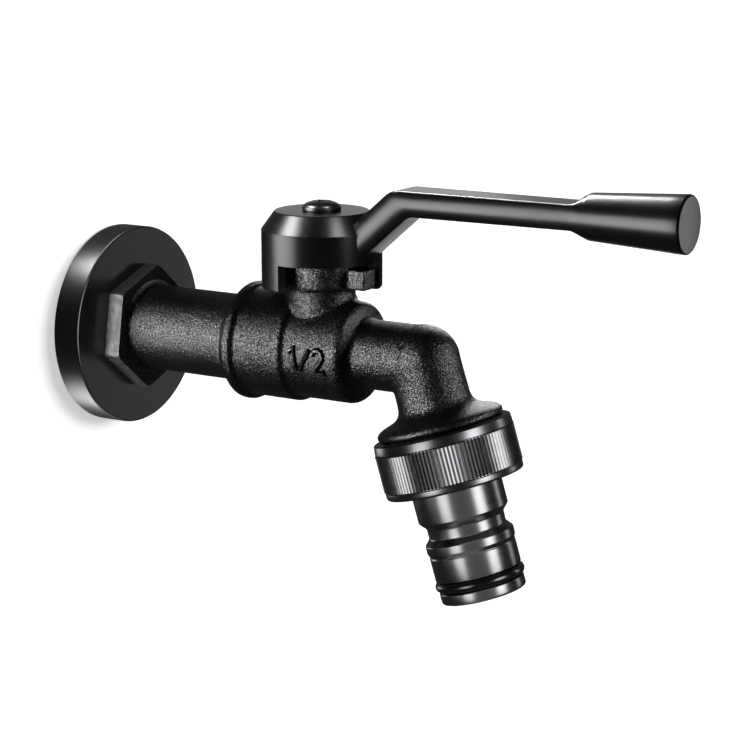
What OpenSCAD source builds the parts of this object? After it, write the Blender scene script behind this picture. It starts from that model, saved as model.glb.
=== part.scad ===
// Garden bib tap: a quarter-turn lever ball valve with a wall flange, a tilted spout,
// a captive union nut and a quick-connect hose nipple.
// Millimetres, +Z up. The origin is the centre of the wall flange's back face, on the inlet axis.
// The wall is the plane Y = 0. The tap projects along -Y and its inlet thread enters the wall along +Y.

/* [Wall flange] */
// Outer diameter of the wall flange
flange_d = 48; // [44:1:54]
// Depth of the flange from the wall to its front face
flange_depth = 7.3; // [6:0.1:9]
// Thickness of the hollow flange
flange_wall = 1.8; // [1.4:0.1:2.4]
// Rounding of the flange's front edge
flange_edge = 0.7; // [0.3:0.1:1.2]

/* [Inlet tailpiece] */
// Outer diameter of the inlet thread
inlet_thread_d = 20.9; // [20.4:0.1:21]
// Length of the inlet thread behind the wall plane
inlet_thread_len = 9.6; // [8:0.2:16]
// Water way through the tailpiece
inlet_bore_d = 13; // [11:0.5:14]
// Hexagon across its flats
hex_af = 26; // [24:0.5:28]
// Height of the hexagon in front of the flange
hex_h = 4; // [3:0.25:6]
// Turn of the hexagon away from an upright corner
hex_turn = 10; // [0:1:30]
// Diameter of the cast tube
tube_d = 20.4; // [20:0.1:21]
// Diameter of the machined spigot that enters the body
spigot_d = 19.8; // [19.2:0.1:20]
// Bare length of the spigot between the tube and the body
spigot_bare = 0.2; // [0.1:0.1:3]

/* [Body] */
// Distance from the wall to the stem axis
stem_reach = 60; // [56:1:70]
// Distance from the stem axis back to the rear face of the body
body_tail = 21; // [20:0.5:26]
// Diameter of the rear rim
rim_d = 27.8; // [27:0.2:30]
// Length of the rear rim
rim_w = 4.2; // [3.8:0.1:6]
// Chamfer at the back of the rear rim
rim_chamfer = 2; // [1:0.1:2.4]
// Diameter of the barrel behind the step
barrel_d = 25.6; // [25:0.2:26.4]
// Diameter of the barrel in front of the step
front_d = 23.6; // [23:0.1:24.4]
// Distance from the stem axis back to the barrel's step
step_back = 4; // [2:0.5:6]
// Distance from the stem axis to the barrel's front face
shoulder_reach = 11.4; // [11:0.2:13]
// Diameter of the neck that carries the stem
neck_d = 15.4; // [14.8:0.2:16.6]
// Flare of the neck's root where it meets the barrel
neck_flare = 0.5; // [0.3:0.1:1.2]
// Height of the underside of the neck's head above the inlet axis
head_z = 14.8; // [14.4:0.1:15.6]
// Diameter of the neck's head
head_d = 17.2; // [17:0.1:18.4]
// Height of the top of the neck's head
head_top = 22.5; // [22:0.1:23]
// Width of the stop lug on the head
lug_w = 5; // [3.6:0.1:5.6]
// Distance from the stem axis to the end of the stop lug
lug_reach = 12.9; // [12.4:0.1:13.6]
// Height of the stop lug
lug_h = 4.6; // [4:0.1:5.5]

// Width of the strokes of the raised size mark
mark_w = 0.9; // [0.6:0.1:1.2]
// Height of the raised size mark above the barrel
mark_h = 0.5; // [0.3:0.1:0.8]

/* [Spout] */
// Outer diameter of the horizontal spout
spout_d = 16; // [15:0.2:16.4]
// Outer diameter of the leg below the elbow
leg_d = 16.4; // [15.6:0.2:17]
// Outer diameter of the rounded elbow
elbow_d = 16.6; // [16.5:0.1:17.4]
// Distance from the stem axis to the elbow
spout_reach = 26.9; // [26:0.5:34]
// Lean of the outlet away from the vertical
outlet_tilt = 17.2; // [12:0.2:20]
// Distance from the elbow to the underside of the collar, along the outlet
collar_drop = 15.3; // [14.8:0.1:18]
// Diameter of the collar
collar_d = 29; // [28:0.2:30]
// Height of the collar's dome
dome_h = 2.6; // [2:0.1:3.2]
// Outer diameter of the outlet thread
outlet_thread_d = 26.2; // [25.6:0.1:26.4]
// Length of the outlet below the collar
outlet_len = 7.1; // [6:0.1:8]
// Water way through the spout
water_d = 10; // [8:0.2:10.6]

/* [Ball valve] */
// Diameter of the ball
ball_d = 16; // [15.4:0.1:16.2]
// Bore through the ball
ball_bore_d = 9.6; // [8:0.2:10]
// Diameter of the ball's chamber
chamber_d = 18.4; // [18:0.1:18.8]
// Thickness of each seat ring
seat_t = 2.8; // [2.4:0.1:3]
// Diameter of the stem
stem_d = 8; // [7.6:0.1:8.2]
// Diameter of the stem's collar
stem_collar_d = 10; // [9.4:0.1:10.2]
// Height of the stem's collar
stem_collar_h = 1.6; // [1.2:0.1:1.8]
// Thickness of the thrust washer on the collar
stem_washer_t = 1; // [0.6:0.1:1.2]
// Width of the stem's square head
square_w = 5.6; // [5.2:0.1:5.6]
// Length of the stem's square head
square_len = 5.4; // [4.5:0.1:5.8]

/* [Lever] */
// Diameter of the lever's hub
hub_d = 27.7; // [27.2:0.1:29]
// Height of the lower edge of the hub's skirt
skirt_z = 14.5; // [14:0.1:15]
// Height of the top of the skirt's cut-out
cut_z = 20.9; // [20.6:0.1:21.6]
// Thickness of the skirt
skirt_wall = 2.6; // [2.2:0.1:3]
// Height at which the hub's bevel starts
bevel_z = 27.9; // [26.5:0.1:29]
// Height of the hub's flat top
hub_top = 32.1; // [31.2:0.1:33]
// Diameter of the hub's flat top
hub_flat_d = 21.6; // [19:0.2:23]
// Width of the crank at the hub
crank_w = 11.2; // [9.6:0.2:11.8]
// Width of the arm at the grip
arm_w = 9.8; // [8.6:0.2:10.4]
// Slope of the crank
crank_slope = 41; // [36:1:46]
// Thickness of the crank, across its slope
crank_t = 7.1; // [6:0.1:8]
// Height of the arm's axis
arm_z = 35.7; // [34.8:0.1:36.6]
// Height of the arm's section at the crank
arm_h = 5.8; // [5.2:0.1:6.6]
// Height of the arm's section at the grip
arm_end_h = 5.7; // [5:0.1:6.2]
// Distance from the stem axis to the start of the grip
grip_start = 67; // [60:0.5:76]
// Length of the grip
grip_len = 22.4; // [18:0.2:30]
// Diameter of the grip at its start
grip_d = 10.2; // [9.6:0.1:11]
// Diameter of the grip at its end
grip_end_d = 12.7; // [12:0.1:14]
// Diameter of the screw's head
screw_head_d = 8.9; // [8:0.1:9.6]
// Height of the screw's head
screw_head_h = 2.3; // [2:0.1:2.8]
// Diameter of the screw's shank
screw_d = 3.9; // [3.5:0.1:4]

/* [Union nut and nipple] */
// Outer diameter of the union nut
nut_d = 32.4; // [31.6:0.2:34]
// Height of the union nut
nut_h = 12.9; // [12.3:0.1:14]
// Height of the nut's plain lower band
nut_foot = 1.6; // [1.4:0.1:2.4]
// Height of the nut's plain upper band
nut_brow = 2.4; // [2:0.1:4]
// Number of teeth round the nut's knurled band
nut_teeth = 116; // [80:4:128]
// Depth of the teeth
tooth_depth = 0.4; // [0.3:0.05:0.5]
// Thickness of the nut's lower lip
nut_lip = 2; // [1.6:0.1:2.4]
// Thickness of the flat gasket
gasket_t = 2; // [1.6:0.1:2.4]
// Diameter of the nipple's upper cylinder
nipple_d = 20.8; // [19.6:0.1:21.2]
// Length of the nipple below the nut
nipple_len = 26; // [24.6:0.2:28]
// Distance from the nut to the latch groove
latch_drop = 6.9; // [6.4:0.1:7.5]
// Width of the latch groove
latch_w = 4; // [3.6:0.1:4.6]
// Diameter of the latch groove
latch_d = 17.9; // [16.8:0.1:18.2]
// Width of the ridge below the latch groove
ridge_w = 4.2; // [3.6:0.1:4.8]
// Diameter of the ridge below the latch groove
ridge_d = 20.4; // [19.4:0.1:20.8]
// Diameter of the cylinder above the rubber ring
lower_d = 19.9; // [18.8:0.1:20.2]
// Diameter of the nipple's tip
tip_d = 19.6; // [18.4:0.1:19.8]
// Water way through the nipple
nipple_bore_d = 13; // [10:0.5:13.6]
// Distance from the nipple's rubber ring to its tip
ring_rise = 4; // [3:0.1:4.5]
// Thickness of the nipple's rubber ring
nipple_ring_t = 2.4; // [1.8:0.1:2.6]

/* [Hidden] */
$fn = 96;

// Clearances
thread_fit = 0.1;
running_fit = 0.05;
ring_fit = 0.05;
face_fit = 0.1;
loose_fit = 0.3;
skirt_fit = 0.4;

// Places along the inlet axis, measured from the wall
hex_end = flange_depth + hex_h;
body_back = stem_reach - body_tail;
tube_end = body_back - spigot_bare;
ball_r = ball_d / 2;
seat_room = 0.5;
seat_back = stem_reach - ball_r - seat_room;
seat_front = stem_reach + ball_r + seat_room;
step_at = stem_reach - step_back;
shoulder_at = stem_reach + shoulder_reach;
elbow_at = stem_reach + spout_reach;
socket_d = spigot_d + 2 * thread_fit;
tail_ring_t = 1.8;
tail_ring_at = seat_back - 4;

// Heights of the stem's stack
tang_t = 3.2;
tang_w = stem_d + 0.6;
slot_floor = ball_bore_d / 2 + 0.8;
tang_z = slot_floor + 0.2;
collar_z = ball_r + 0.4;
washer_z = collar_z + stem_collar_h;
pocket_z = washer_z + stem_washer_t + running_fit;
pocket_d = stem_collar_d + 2 * loose_fit;
stem_ring_t = 1.5;
stem_ring_zs = [pocket_z + 2.4, pocket_z + 5.9];
hub_floor = head_top + skirt_fit;
stem_top = hub_floor + square_len;
tapped_z = head_top - 1.5;
tapped_d = screw_d + 2 * running_fit;

// Lever
lug_half_angle = asin(lug_w / 2 / (hub_d / 2 - skirt_wall));
lever_turn = 90;
stop_gap = 0.4;
grip_at = stem_reach + grip_start;
grip_end = grip_at + grip_len;
flare_len = 3.4;

// Size mark: a one, a slash and a two, in steps along the barrel and up its side
mark_at = stem_reach - 2.1;
mark_low = -3.3;
mark_lean = 0.09;
mark_strokes = [
    [[0.1, 4.5], [1.5, 5.5], [1.55, 0]],
    [[2.5, 0.1], [5.9, 5.4]],
    [
        [6.5, 4.1], [6.75, 4.85], [7.4, 5.38], [8.2, 5.45], [8.95, 5.1], [9.3, 4.35],
        [9.15, 3.5], [8.5, 2.5], [7.45, 1.2], [6.6, 0.05], [9.5, 0.05]
    ]
];

// Places along the outlet, measured from the elbow
bend_angle = 90 - outlet_tilt;
bend_d = spout_d - 0.8;
bend_r = bend_d / 2 + 2.9;
outlet_end = collar_drop + outlet_len;
leg_bore_d = water_d + 0.8;
gasket_at = outlet_end + face_fit;
nipple_top = gasket_at + gasket_t;
nipple_flange_t = 1.9;
lip_at = nipple_top + nipple_flange_t + face_fit;
nut_end = lip_at + nut_lip;
nut_top = nut_end - nut_h;
nut_bore_d = outlet_thread_d + 2 * loose_fit;
nipple_end = nut_end + nipple_len;
nipple_ring_at = nipple_end - ring_rise;
nipple_groove_d = tip_d - 1.6 * nipple_ring_t;
nipple_shank_r = nipple_d / 2 - 0.4;

// Rounded corner b between the points a and c
function unit(v) = v / norm(v);
function turned(v, t) = [v.x * cos(t) - v.y * sin(t), v.x * sin(t) + v.y * cos(t)];
function corner(a, b, c, r, n) =
    let (u = unit(a - b), v = unit(c - b), h = acos(u * v) / 2)
    let (m = b + unit(u + v) * r / sin(h))
    let (p = b + u * r / tan(h) - m, q = b + v * r / tan(h) - m)
    let (t = sign(p.x * q.y - p.y * q.x) * acos(p * q / (r * r)))
    [for (i = [0:n]) m + turned(p, t * i / n)];

// Outline whose points hold x, y and, where the corner is round, its radius
function flat(p) = [p[0], p[1]];
function outline(p, n = 4) =
    let (k = len(p))
    [for (i = [0:k - 1]) each len(p[i]) < 3
        ? [flat(p[i])]
        : corner(flat(p[(i + k - 1) % k]), flat(p[i]), flat(p[(i + 1) % k]), p[i][2], n)];

// Band of even width w along the points p, with mitred corners
function across(a, b) = let (d = unit(b - a)) [-d.y, d.x];
function mitre(p, i) =
    let (last = len(p) - 1)
    let (m = across(p[max(i - 1, 0)], p[max(i, 1)]), n = across(p[min(i, last - 1)], p[min(i + 1, last)]))
    (m + n) / (1 + m * n);
function band(p, w) = concat(
    [for (i = [0:len(p) - 1]) p[i] + mitre(p, i) * w / 2],
    [for (i = [len(p) - 1:-1:0]) p[i] - mitre(p, i) * w / 2]
);

// Frames: the inlet axis runs outward from the wall, the outlet axis runs down the spout
module on_inlet(at = 0) {
    translate([0, -at, 0])
        rotate([90, 0, 0])
            children();
}

module on_outlet(at = 0) {
    translate([0, -elbow_at, 0])
        rotate([180 - outlet_tilt, 0, 0])
            translate([0, 0, at])
                children();
}

module on_stem(at = 0) {
    translate([0, -stem_reach, at])
        children();
}

module revolved(points) {
    rotate_extrude()
        polygon(outline(points));
}

// Rubber ring with outer diameter d and thickness t, centred on its own plane
module rubber_ring(d, t) {
    rotate_extrude()
        translate([d / 2 - t / 2, 0])
            circle(d = t, $fn = 48);
}

module bored(d, from, to) {
    translate([0, 0, from])
        cylinder(d = d, h = to - from);
}

module wall_flange() {
    r = flange_d / 2;
    hole = inlet_thread_d / 2 + thread_fit;
    inner = flange_depth - flange_wall;
    color("#26272a")
        on_inlet()
            revolved([
                [r - flange_wall, 0],
                [r, 0],
                [r, flange_depth, flange_edge],
                [hole, flange_depth],
                [hole, inner],
                [r - flange_wall, inner, flange_edge]
            ]);
}

module hexagon() {
    corner_r = hex_af / sqrt(3);
    cut = (corner_r - hex_af / 2) * 0.3;
    intersection() {
        translate([0, 0, flange_depth])
            linear_extrude(hex_h)
                rotate(30 - hex_turn)
                    circle(r = corner_r, $fn = 6);
        revolved([
            [0, flange_depth],
            [corner_r, flange_depth],
            [corner_r, hex_end - cut * 0.6],
            [corner_r - cut, hex_end],
            [0, hex_end]
        ]);
    }
}

module inlet_tailpiece() {
    thread_r = inlet_thread_d / 2;
    thread_end = 0.6;
    shank_r = thread_r - 0.3;
    groove_d = spigot_d - 2 * tail_ring_t;
    groove_w = tail_ring_t + 0.3;
    color("#2c2d30")
        on_inlet()
            difference() {
                union() {
                    revolved([
                        [0, -inlet_thread_len],
                        [thread_r - 1, -inlet_thread_len],
                        [thread_r, 1 - inlet_thread_len],
                        [thread_r, thread_end],
                        [shank_r, thread_end + 0.4],
                        [shank_r, flange_depth + 0.5],
                        [0, flange_depth + 0.5]
                    ]);
                    hexagon();
                    revolved([
                        [0, hex_end - 1],
                        [tube_d / 2, hex_end - 1],
                        [tube_d / 2, tube_end, 0.3],
                        [spigot_d / 2, tube_end],
                        [spigot_d / 2, seat_back - 0.6],
                        [spigot_d / 2 - 0.6, seat_back],
                        [0, seat_back]
                    ]);
                }
                bored(inlet_bore_d, -inlet_thread_len - 1, seat_back + 1);
                difference() {
                    bored(spigot_d + 1, tail_ring_at - groove_w / 2, tail_ring_at + groove_w / 2);
                    bored(groove_d, tail_ring_at - groove_w, tail_ring_at + groove_w);
                }
            }
}

module tail_seal_ring() {
    color("#111111")
        on_inlet(tail_ring_at)
            rubber_ring(socket_d - 2 * ring_fit, tail_ring_t);
}

// Barrel and horizontal spout, solid
module barrel() {
    rim_r = rim_d / 2;
    barrel_r = barrel_d / 2;
    front_r = front_d / 2;
    rim_end = body_back + rim_w;
    on_inlet()
        revolved([
            [0, body_back],
            [rim_r - rim_chamfer, body_back, 0.6],
            [rim_r, body_back + rim_chamfer, 0.8],
            [rim_r, rim_end - 0.4, 0.4],
            [barrel_r, rim_end + 0.4, 0.4],
            [barrel_r, step_at - 0.1, 0.4],
            [front_r, step_at + 0.6, 0.4],
            [front_r, shoulder_at - 0.4, 2],
            [spout_d / 2, shoulder_at + 0.6, 1.2],
            [spout_d / 2, elbow_at],
            [0, elbow_at]
        ]);
}

// Elbow with a small inner bend, and the leg with its flared collar, solid
module elbow_and_collar() {
    leg_r = leg_d / 2;
    collar_r = collar_d / 2;
    rim_at = collar_drop - 2;
    dome_at = rim_at - dome_h;
    back = bend_r * tan(bend_angle / 2);
    translate([0, -elbow_at, 0])
        sphere(d = elbow_d);
    translate([0, back - elbow_at, -bend_r])
        rotate([0, 90, 0])
            rotate([0, 0, 180])
                rotate_extrude(angle = bend_angle)
                    translate([bend_r, 0])
                        circle(d = bend_d);
    on_outlet()
        revolved([
            [0, 0],
            [leg_r, 0],
            [leg_r + 0.2, dome_at + 0.6, 3],
            [collar_r - 1, rim_at - 0.1, 0.8],
            [collar_r, rim_at + 0.7, 0.4],
            [collar_r, collar_drop - 0.3],
            [collar_r - 0.3, collar_drop],
            [outlet_thread_d / 2 - 1.2, collar_drop],
            [outlet_thread_d / 2 - 1.2, collar_drop + 0.7],
            [outlet_thread_d / 2, collar_drop + 1.4],
            [outlet_thread_d / 2, outlet_end - 0.6],
            [outlet_thread_d / 2 - 0.6, outlet_end],
            [0, outlet_end]
        ]);
}

// Neck with its wider head and the stop lug for the lever's skirt, solid
module neck() {
    root_z = barrel_d / 2 - 0.9;
    on_stem()
        revolved([
            [0, 0],
            [neck_d / 2 + neck_flare, 0],
            [neck_d / 2 + neck_flare, root_z, 0.5],
            [neck_d / 2, root_z + neck_flare, 0.5],
            [neck_d / 2, head_z],
            [head_d / 2, head_z],
            [head_d / 2, head_top, 0.4],
            [0, head_top]
        ]);
    on_stem(head_z)
        translate([-lug_w / 2, -lug_reach, 0])
            cube([lug_w, lug_reach, lug_h]);
}

// Raised figures on the near side of the barrel, following its round
module size_mark() {
    front_r = front_d / 2;
    intersection() {
        rotate([90, 0, -90])
            translate([mark_at, mark_low, front_r - 2.5])
                linear_extrude(4)
                    for (points = mark_strokes)
                        polygon(band([for (q = points) [q.x + mark_lean * (5.5 - q.y), q.y]], mark_w));
        on_inlet()
            bored(front_d + 2 * mark_h, mark_at - 3, mark_at + 13);
    }
}

module valve_body() {
    color("#2c2d30")
        difference() {
            union() {
                barrel();
                neck();
                elbow_and_collar();
                size_mark();
            }
            on_inlet() {
                bored(socket_d, body_back - 1, seat_back + 0.1);
                bored(chamber_d, seat_back, seat_front);
                bored(water_d, seat_front - 1, elbow_at);
            }
            on_stem() {
                bored(pocket_d, 0, pocket_z);
                bored(stem_d + 2 * running_fit, pocket_z - 1, head_top + 1);
            }
            translate([0, -elbow_at, 0])
                sphere(d = leg_bore_d + 0.4);
            on_outlet()
                bored(leg_bore_d, 0, outlet_end + 1);
        }
}

// Seat ring that faces the ball, with its flat back at the given distance from the wall
module seat(from, to) {
    color("#e9e6dc")
        difference() {
            on_inlet()
                difference() {
                    bored(chamber_d - 2 * thread_fit, from, to);
                    bored(water_d, from - 1, to + 1);
                }
            on_stem()
                sphere(d = ball_d + 2 * loose_fit);
        }
}

module rear_seat() {
    seat(seat_back, seat_back + seat_t);
}

module front_seat() {
    seat(seat_front - seat_t, seat_front);
}

module valve_ball() {
    slot_w = tang_t + 2 * face_fit;
    color("#b9bcc0")
        difference() {
            on_stem()
                sphere(d = ball_d);
            on_inlet()
                bored(ball_bore_d, stem_reach - ball_d, stem_reach + ball_d);
            on_stem(slot_floor)
                translate([-ball_d, -slot_w / 2, 0])
                    cube([2 * ball_d, slot_w, ball_d]);
        }
}

module valve_stem() {
    groove_d = stem_d - 2 * stem_ring_t - 2 * ring_fit;
    groove_w = stem_ring_t + 0.3;
    color("#a98d55")
        on_stem()
            difference() {
                union() {
                    translate([-tang_w / 2, -tang_t / 2, tang_z])
                        cube([tang_w, tang_t, collar_z - tang_z + 0.5]);
                    bored(stem_collar_d, collar_z, washer_z);
                    bored(stem_d, washer_z - 0.5, hub_floor);
                    translate([-square_w / 2, -square_w / 2, hub_floor - 0.5])
                        cube([square_w, square_w, square_len + 0.5]);
                }
                for (z = stem_ring_zs)
                    difference() {
                        bored(stem_d + 1, z - groove_w / 2, z + groove_w / 2);
                        bored(groove_d, z - groove_w, z + groove_w);
                    }
                bored(tapped_d, tapped_z, stem_top + 1);
            }
}

module stem_washer() {
    color("#e9e6dc")
        on_stem()
            difference() {
                bored(stem_collar_d, washer_z, washer_z + stem_washer_t);
                bored(stem_d + 2 * ring_fit, washer_z - 1, washer_z + stem_washer_t + 1);
            }
}

module stem_o_ring_lower() {
    color("#111111")
        on_stem(stem_ring_zs[0])
            rubber_ring(stem_d, stem_ring_t);
}

module stem_o_ring_upper() {
    color("#111111")
        on_stem(stem_ring_zs[1])
            rubber_ring(stem_d, stem_ring_t);
}

// Section of crank and arm from its low to its high point, with swollen sides and a flat top
module arm_section(low, high, w) {
    h = norm(high - low) / 2;
    half = w / 2;
    inset = 0.6;
    way = high - low;
    middle = (low + high) / 2;
    translate([0, -middle.x, middle.y])
        rotate([atan2(way.y, -way.x), 0, 0])
            linear_extrude(0.02, center = true)
                polygon(outline([
                    [half - inset, -h, 0.9],
                    [half, -0.1 * h, 7],
                    [half - inset, h, 0.5],
                    [inset - half, h, 0.5],
                    [-half, -0.1 * h, 7],
                    [inset - half, -h, 0.9]
                ]));
}

// Crank that climbs from the hub, a soft bend, and the arm that tapers to the grip
module crank_and_arm() {
    run = [cos(crank_slope), sin(crank_slope)];
    up = [-sin(crank_slope), cos(crank_slope)];
    root = stem_reach + 6;
    end = grip_at - 0.2;
    foot = [stem_reach + hub_d / 2 - 1, cut_z + 1.4];
    low_bend = foot + run * (arm_z - arm_h / 2 - foot.y) / sin(crank_slope);
    high_foot = foot + up * crank_t;
    high_bend = high_foot + run * (arm_z + arm_h / 2 - high_foot.y) / sin(crank_slope);
    low_r = 4.5;
    high_r = 5.5;
    low_hub = low_bend - run * low_r * tan(crank_slope / 2) - up * low_r;
    high_hub = high_bend - run * high_r * tan(crank_slope / 2) - up * high_r;
    plan = function (u) crank_w + (arm_w - crank_w) * (u - root) / (end - root);
    bends = [for (t = [crank_slope, crank_slope / 2, 0])
        [low_hub + low_r * [-sin(t), cos(t)], high_hub + high_r * [-sin(t), cos(t)]]];
    hull() {
        arm_section([root + 2.6, hub_floor + 0.5], [root + 0.4, hub_floor + 3.2], crank_w);
        arm_section(foot, high_foot, crank_w);
        arm_section(bends[0][0], bends[0][1], plan(bends[0][0].x));
    }
    for (i = [0:1])
        hull() {
            arm_section(bends[i][0], bends[i][1], plan(bends[i][0].x));
            arm_section(bends[i + 1][0], bends[i + 1][1], plan(bends[i + 1][0].x));
        }
    hull() {
        arm_section(bends[2][0], bends[2][1], plan(bends[2][0].x));
        arm_section([end, arm_z - arm_end_h / 2], [end, arm_z + arm_end_h / 2], arm_w);
    }
}

// Round grip that flares out of the arm
module grip() {
    translate([0, 0, arm_z])
        on_inlet()
            revolved([
                [0, grip_at - flare_len - 3],
                [arm_end_h / 2 - 0.4, grip_at - flare_len - 3],
                [arm_end_h / 2 - 0.1, grip_at - flare_len, 2],
                [grip_d / 2, grip_at, 2],
                [grip_end_d / 2, grip_end, 0.4],
                [0, grip_end]
            ]);
}

// Sector of the skirt that is open for the stop lug, turned from the lug towards -X
module skirt_cut() {
    from = lug_half_angle + stop_gap;
    to = lever_turn + from;
    on_stem(skirt_z - 1)
        rotate([0, 0, -90 - to])
            rotate_extrude(angle = to + from)
                translate([hub_d / 4, 0])
                    square([hub_d, cut_z - skirt_z + 1]);
}

module lever_handle() {
    r = hub_d / 2;
    hole_w = square_w + 2 * running_fit;
    color("#1d1e20")
        difference() {
            union() {
                on_stem()
                    revolved([
                        [0, skirt_z],
                        [r, skirt_z, 0.8],
                        [r, bevel_z, 0.8],
                        [hub_flat_d / 2, hub_top, 0.6],
                        [0, hub_top]
                    ]);
                crank_and_arm();
                grip();
            }
            on_stem() {
                bored(hub_d - 2 * skirt_wall, skirt_z - 1, hub_floor);
                bored(screw_d + 2 * loose_fit, hub_floor, hub_top + 1);
                translate([-hole_w / 2, -hole_w / 2, hub_floor - 0.5])
                    cube([hole_w, hole_w, square_len + face_fit + 0.5]);
            }
            skirt_cut();
        }
}

module handle_screw() {
    head_r = screw_head_d / 2;
    recess = 1.1;
    color("#1d1e20")
        on_stem(hub_top)
            difference() {
                union() {
                    revolved([
                        [0, 0],
                        [head_r, 0, 0.15],
                        [head_r, screw_head_h * 0.37, 0.15],
                        [head_r - 0.35, screw_head_h * 0.42],
                        [head_r * 0.6, screw_head_h, 2],
                        [0, screw_head_h]
                    ]);
                    bored(screw_d, tapped_z - hub_top + 1, 0.5);
                }
                for (a = [45, 135])
                    rotate([0, 0, a])
                        translate([-screw_head_d * 0.29, -recess / 2, screw_head_h - 1.5])
                            cube([screw_head_d * 0.58, recess, 2]);
            }
}

module outlet_washer() {
    color("#111111")
        on_outlet()
            difference() {
                bored(outlet_thread_d - 0.6, gasket_at, gasket_at + gasket_t);
                bored(nipple_bore_d + 1, gasket_at - 1, gasket_at + gasket_t + 1);
            }
}

module hose_nipple() {
    groove_r = nipple_groove_d / 2;
    groove_w = nipple_ring_t + 0.3;
    latch_at = nut_end + latch_drop;
    latch_end = latch_at + latch_w;
    ridge_end = latch_end + ridge_w;
    color("#4b4d51")
        on_outlet()
            difference() {
                revolved([
                    [0, nipple_top],
                    [outlet_thread_d / 2 - 0.4, nipple_top],
                    [outlet_thread_d / 2 - 0.4, nipple_top + nipple_flange_t],
                    [nipple_shank_r, nipple_top + nipple_flange_t],
                    [nipple_shank_r, nut_end - 0.2],
                    [nipple_d / 2, nut_end + 0.2],
                    [nipple_d / 2, latch_at, 0.3],
                    [latch_d / 2, latch_at + 1.6, 0.6],
                    [latch_d / 2, latch_end, 0.6],
                    [ridge_d / 2, latch_end + 1.4, 0.5],
                    [ridge_d / 2, ridge_end - 1, 0.5],
                    [lower_d / 2, ridge_end],
                    [lower_d / 2, nipple_ring_at - groove_w / 2, 0.3],
                    [groove_r, nipple_ring_at - groove_w / 2],
                    [groove_r, nipple_ring_at + groove_w / 2],
                    [tip_d / 2, nipple_ring_at + groove_w / 2, 0.3],
                    [tip_d / 2, nipple_end, 0.5],
                    [0, nipple_end]
                ]);
                bored(nipple_bore_d, nipple_top - 1, nipple_end + 1);
            }
}

// Straight teeth round the outlet axis, between two places along it
module knurl(r, from, to) {
    step = 360 / nut_teeth;
    shape = [[0, tooth_depth], [0.3, tooth_depth], [0.5, 0], [0.8, 0]];
    translate([0, 0, from])
        linear_extrude(to - from)
            polygon([for (i = [0:nut_teeth - 1], q = shape)
                (r - q[1]) * [cos((i + q[0]) * step), sin((i + q[0]) * step)]]);
}

module union_nut() {
    r = nut_d / 2;
    bore_r = nut_bore_d / 2;
    lip_r = nipple_d / 2 + loose_fit;
    band_r = r - tooth_depth - 0.1;
    brow_end = nut_top + nut_brow;
    foot_at = nut_end - nut_foot;
    color("#303236")
        on_outlet() {
            revolved([
                [bore_r, nut_top + 0.4],
                [bore_r + 0.6, nut_top],
                [r - 0.9, nut_top, 0.3],
                [r - 0.3, nut_top + 0.8, 0.4],
                [r - 0.2, brow_end - 0.1],
                [band_r, brow_end + 0.1],
                [band_r, foot_at - 0.2],
                [r - 0.3, foot_at],
                [r - 0.3, nut_end, 0.6],
                [lip_r, nut_end],
                [lip_r, lip_at],
                [bore_r, lip_at]
            ]);
            difference() {
                knurl(r, brow_end + 0.25, foot_at - 0.35);
                bored(2 * bore_r + 2, brow_end, foot_at);
            }
        }
}

module nipple_o_ring() {
    color("#111111")
        on_outlet(nipple_ring_at)
            rubber_ring(nipple_groove_d + 2 * (nipple_ring_t + ring_fit), nipple_ring_t);
}

wall_flange();
inlet_tailpiece();
tail_seal_ring();
valve_body();
rear_seat();
front_seat();
valve_ball();
valve_stem();
stem_washer();
stem_o_ring_lower();
stem_o_ring_upper();
lever_handle();
handle_screw();
outlet_washer();
hose_nipple();
union_nut();
nipple_o_ring();
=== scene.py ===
import math
import bmesh
import bpy
import numpy as np
from mathutils import Matrix, Vector


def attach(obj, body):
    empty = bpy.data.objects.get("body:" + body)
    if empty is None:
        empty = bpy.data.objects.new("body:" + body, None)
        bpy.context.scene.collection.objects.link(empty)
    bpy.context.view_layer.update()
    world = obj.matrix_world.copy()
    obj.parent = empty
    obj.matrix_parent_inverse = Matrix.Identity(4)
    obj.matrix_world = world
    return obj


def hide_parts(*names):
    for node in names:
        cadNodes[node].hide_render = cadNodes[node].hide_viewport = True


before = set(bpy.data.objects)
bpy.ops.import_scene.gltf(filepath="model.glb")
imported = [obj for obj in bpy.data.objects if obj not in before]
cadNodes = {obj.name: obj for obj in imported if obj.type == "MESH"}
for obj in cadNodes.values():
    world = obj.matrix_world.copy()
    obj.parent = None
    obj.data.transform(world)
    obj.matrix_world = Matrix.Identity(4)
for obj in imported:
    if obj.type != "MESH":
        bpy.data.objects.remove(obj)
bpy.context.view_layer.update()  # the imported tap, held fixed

mm = 0.001
print("frame loaded,", len(cadNodes), "nodes")

# the tap's three axes, in mm from the wall
tap = dict(stemReach=60.0, elbowReach=86.9, outletTilt=17.2)
inletAxis = Matrix.Rotation(math.radians(90), 4, "X")  # local z runs out of the wall
stemAxis = Matrix.Translation((0, -tap["stemReach"] * mm, 0))
outletAxis = Matrix.Translation((0, -tap["elbowReach"] * mm, 0)) @ Matrix.Rotation(
    math.radians(180 - tap["outletTilt"]), 4, "X")  # local z runs down the spout


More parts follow.
